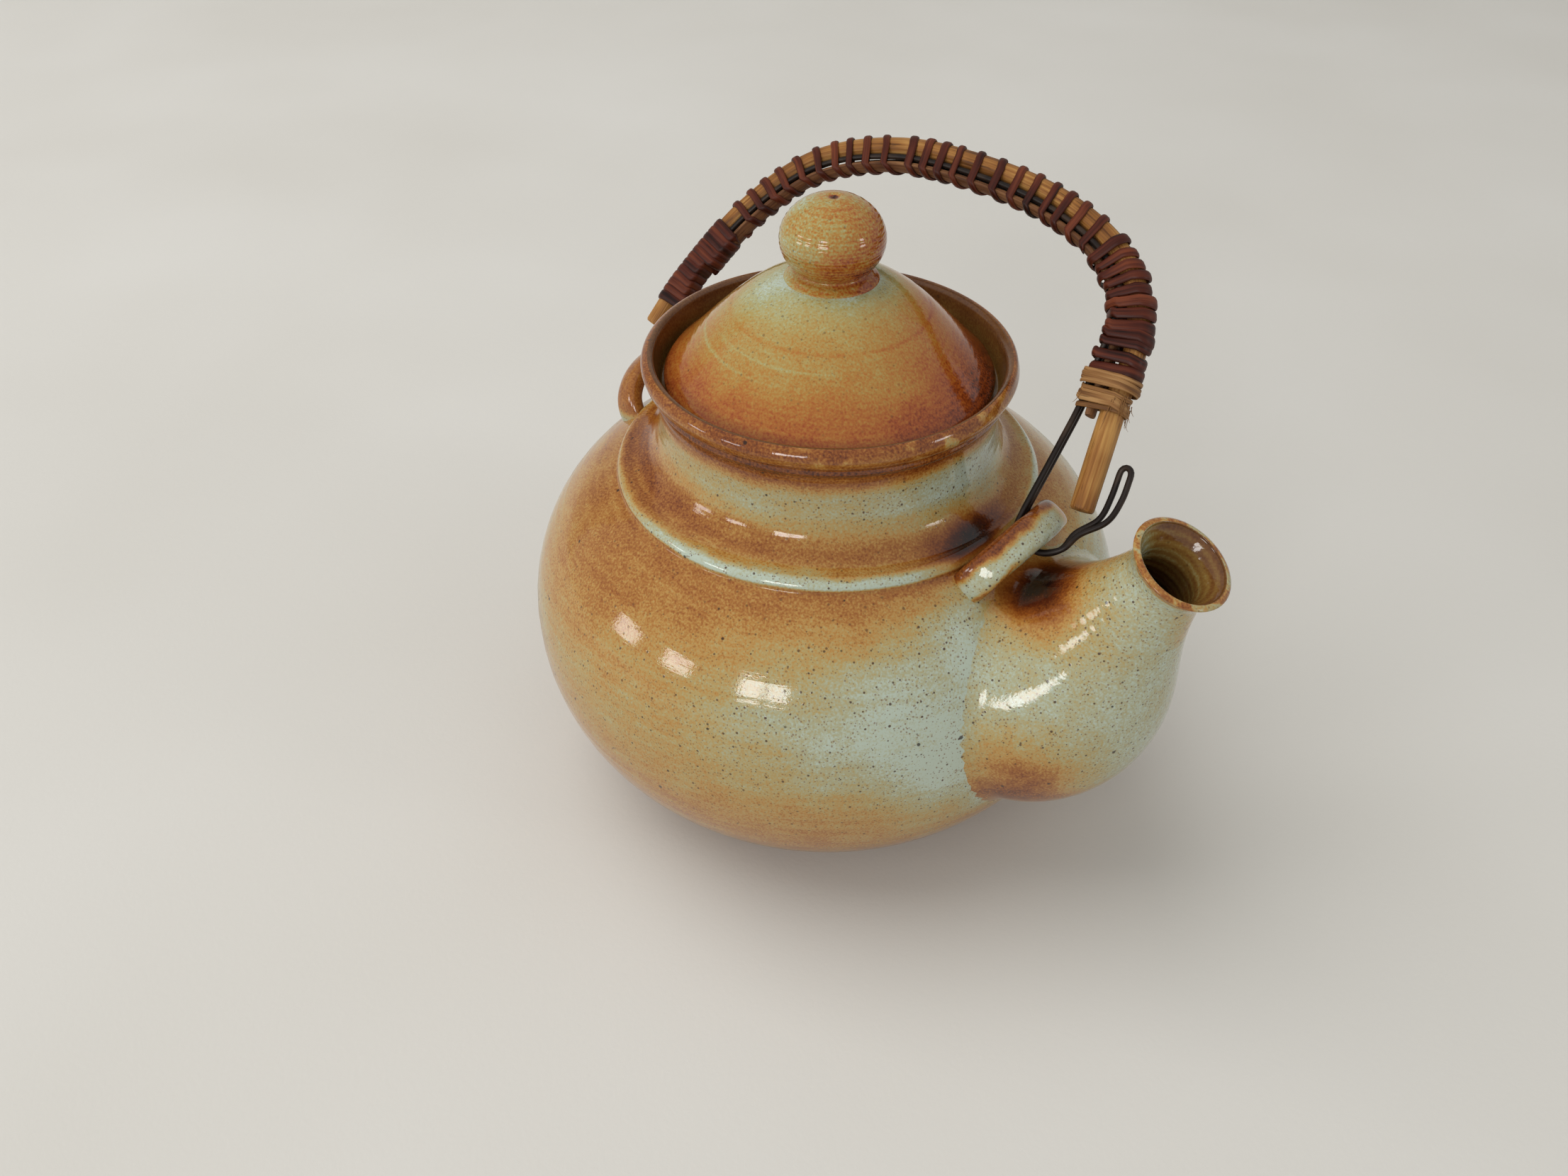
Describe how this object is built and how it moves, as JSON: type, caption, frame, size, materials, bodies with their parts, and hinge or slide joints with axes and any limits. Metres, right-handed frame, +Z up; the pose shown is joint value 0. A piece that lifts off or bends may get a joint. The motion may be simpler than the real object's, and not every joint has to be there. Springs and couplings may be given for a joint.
{
  "type": "teapot",
  "caption": "Round stoneware teapot with a lidded neck, a bulbous short spout, two clay lugs and a leaning cane bail handle on wire hooks",
  "frame": {"origin": "centre of the pot's flat base", "axes": "+Z up along the pot's axis, +X towards the spout, -Y towards the side that the resting handle leans away from"},
  "size_m": [0.2154, 0.182, 0.1906],
  "materials": {
    "stoneware_glaze": "glossy ash glaze, tan to rust with pale areas and iron specks",
    "spout_glaze": "glossy pale grey-green glaze with specks and a rust rim",
    "lug_glaze": "glossy tan and rust glaze over rolled clay",
    "lid_glaze": "glossy glaze over throwing rings, pale at the crown and rust at the edge",
    "knob_glaze": "glossy ochre glaze with rust patches",
    "golden_cane": "satin golden brown cane with long fibres",
    "split_cane": "split cane, matte brown",
    "blackened_wire": "blackened iron wire",
    "dark_rattan": "dark reddish brown rattan strip, satin",
    "natural_rattan": "loose natural rattan strip, matte and frayed"
  },
  "bodies": {
    "pot": {"pot_body": "stoneware_glaze", "spout": "spout_glaze", "front_lug": "lug_glaze", "rear_lug": "lug_glaze"},
    "lid": {"lid": "lid_glaze", "knob": "knob_glaze"},
    "handle": {"outer_cane": "golden_cane", "inner_cane": "split_cane", "handle_wire": "blackened_wire", "rear_wrap": "dark_rattan", "handle_winding": "dark_rattan", "front_wrap": "dark_rattan", "end_binding": "natural_rattan"}
  },
  "joints": [
    {"name": "handle_swing", "type": "hinge", "parent": "pot", "child": "handle", "pos_m": [0, 0, 0.11203], "axis": [1, 0, 0], "range_deg": [-8, 92]},
    {"name": "lid_lift", "type": "slide", "parent": "pot", "child": "lid", "axis": [0, 0, 1], "range_m": [0, 0.09]}
  ]
}
